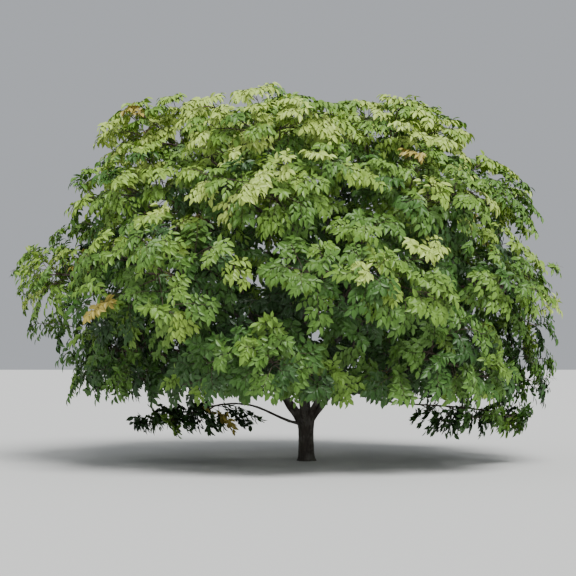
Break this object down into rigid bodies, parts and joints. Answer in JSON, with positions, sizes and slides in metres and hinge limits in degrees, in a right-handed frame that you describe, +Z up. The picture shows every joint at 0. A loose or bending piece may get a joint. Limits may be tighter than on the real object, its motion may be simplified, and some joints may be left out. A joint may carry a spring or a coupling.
{
  "type": "american hornbeam sapling",
  "caption": "Young American hornbeam with a short fluted trunk, rising limbs from a low fork and a broad rounded crown of leafy masses.",
  "frame": {"origin": "middle of the trunk's flat foot, at ground level", "axes": "+Z up along the trunk, +X to the right-hand side of the tree, -Y to its front"},
  "size_m": [6.881, 6.8513, 4.7724],
  "materials": {
    "bark": "rough",
    "leaves": "satin"
  },
  "bodies": {
    "root": {"trunk": "bark", "leader": "bark", "leader_lateral_1": "bark", "leader_lateral_2": "bark", "leader_lateral_3": "bark", "leader_lateral_4": "bark", "leader_lateral_5": "bark", "main_1": "bark", "belt_lateral_1": "bark", "skirt_lateral_1": "bark", "main_2": "bark", "belt_lateral_2": "bark", "skirt_lateral_2": "bark", "main_3": "bark", "belt_lateral_3": "bark", "skirt_lateral_3": "bark", "main_4": "bark", "belt_lateral_4": "bark", "skirt_lateral_4": "bark", "main_5": "bark", "belt_lateral_5": "bark", "skirt_lateral_5": "bark", "main_6": "bark", "belt_lateral_6": "bark", "skirt_lateral_6": "bark", "main_7": "bark", "belt_lateral_7": "bark", "skirt_lateral_7": "bark", "low_left_limb": "bark", "low_right_limb": "bark", "foliage_skirt_1": "leaves", "foliage_skirt_2": "leaves", "foliage_skirt_3": "leaves", "foliage_skirt_4": "leaves", "foliage_skirt_5": "leaves", "foliage_skirt_6": "leaves", "foliage_skirt_7": "leaves", "foliage_belt_1": "leaves", "foliage_belt_2": "leaves", "foliage_belt_3": "leaves", "foliage_belt_4": "leaves", "foliage_belt_5": "leaves", "foliage_belt_6": "leaves", "foliage_belt_7": "leaves", "foliage_shoulder_1": "leaves", "foliage_shoulder_2": "leaves", "foliage_shoulder_3": "leaves", "foliage_shoulder_4": "leaves", "foliage_shoulder_5": "leaves", "foliage_shoulder_6": "leaves", "foliage_shoulder_7": "leaves", "foliage_crest_1": "leaves", "foliage_crest_2": "leaves", "foliage_crest_3": "leaves", "foliage_crest_4": "leaves", "foliage_crest_5": "leaves", "foliage_top": "leaves", "foliage_low_left": "leaves", "foliage_low_right": "leaves"}
  },
  "joints": []
}
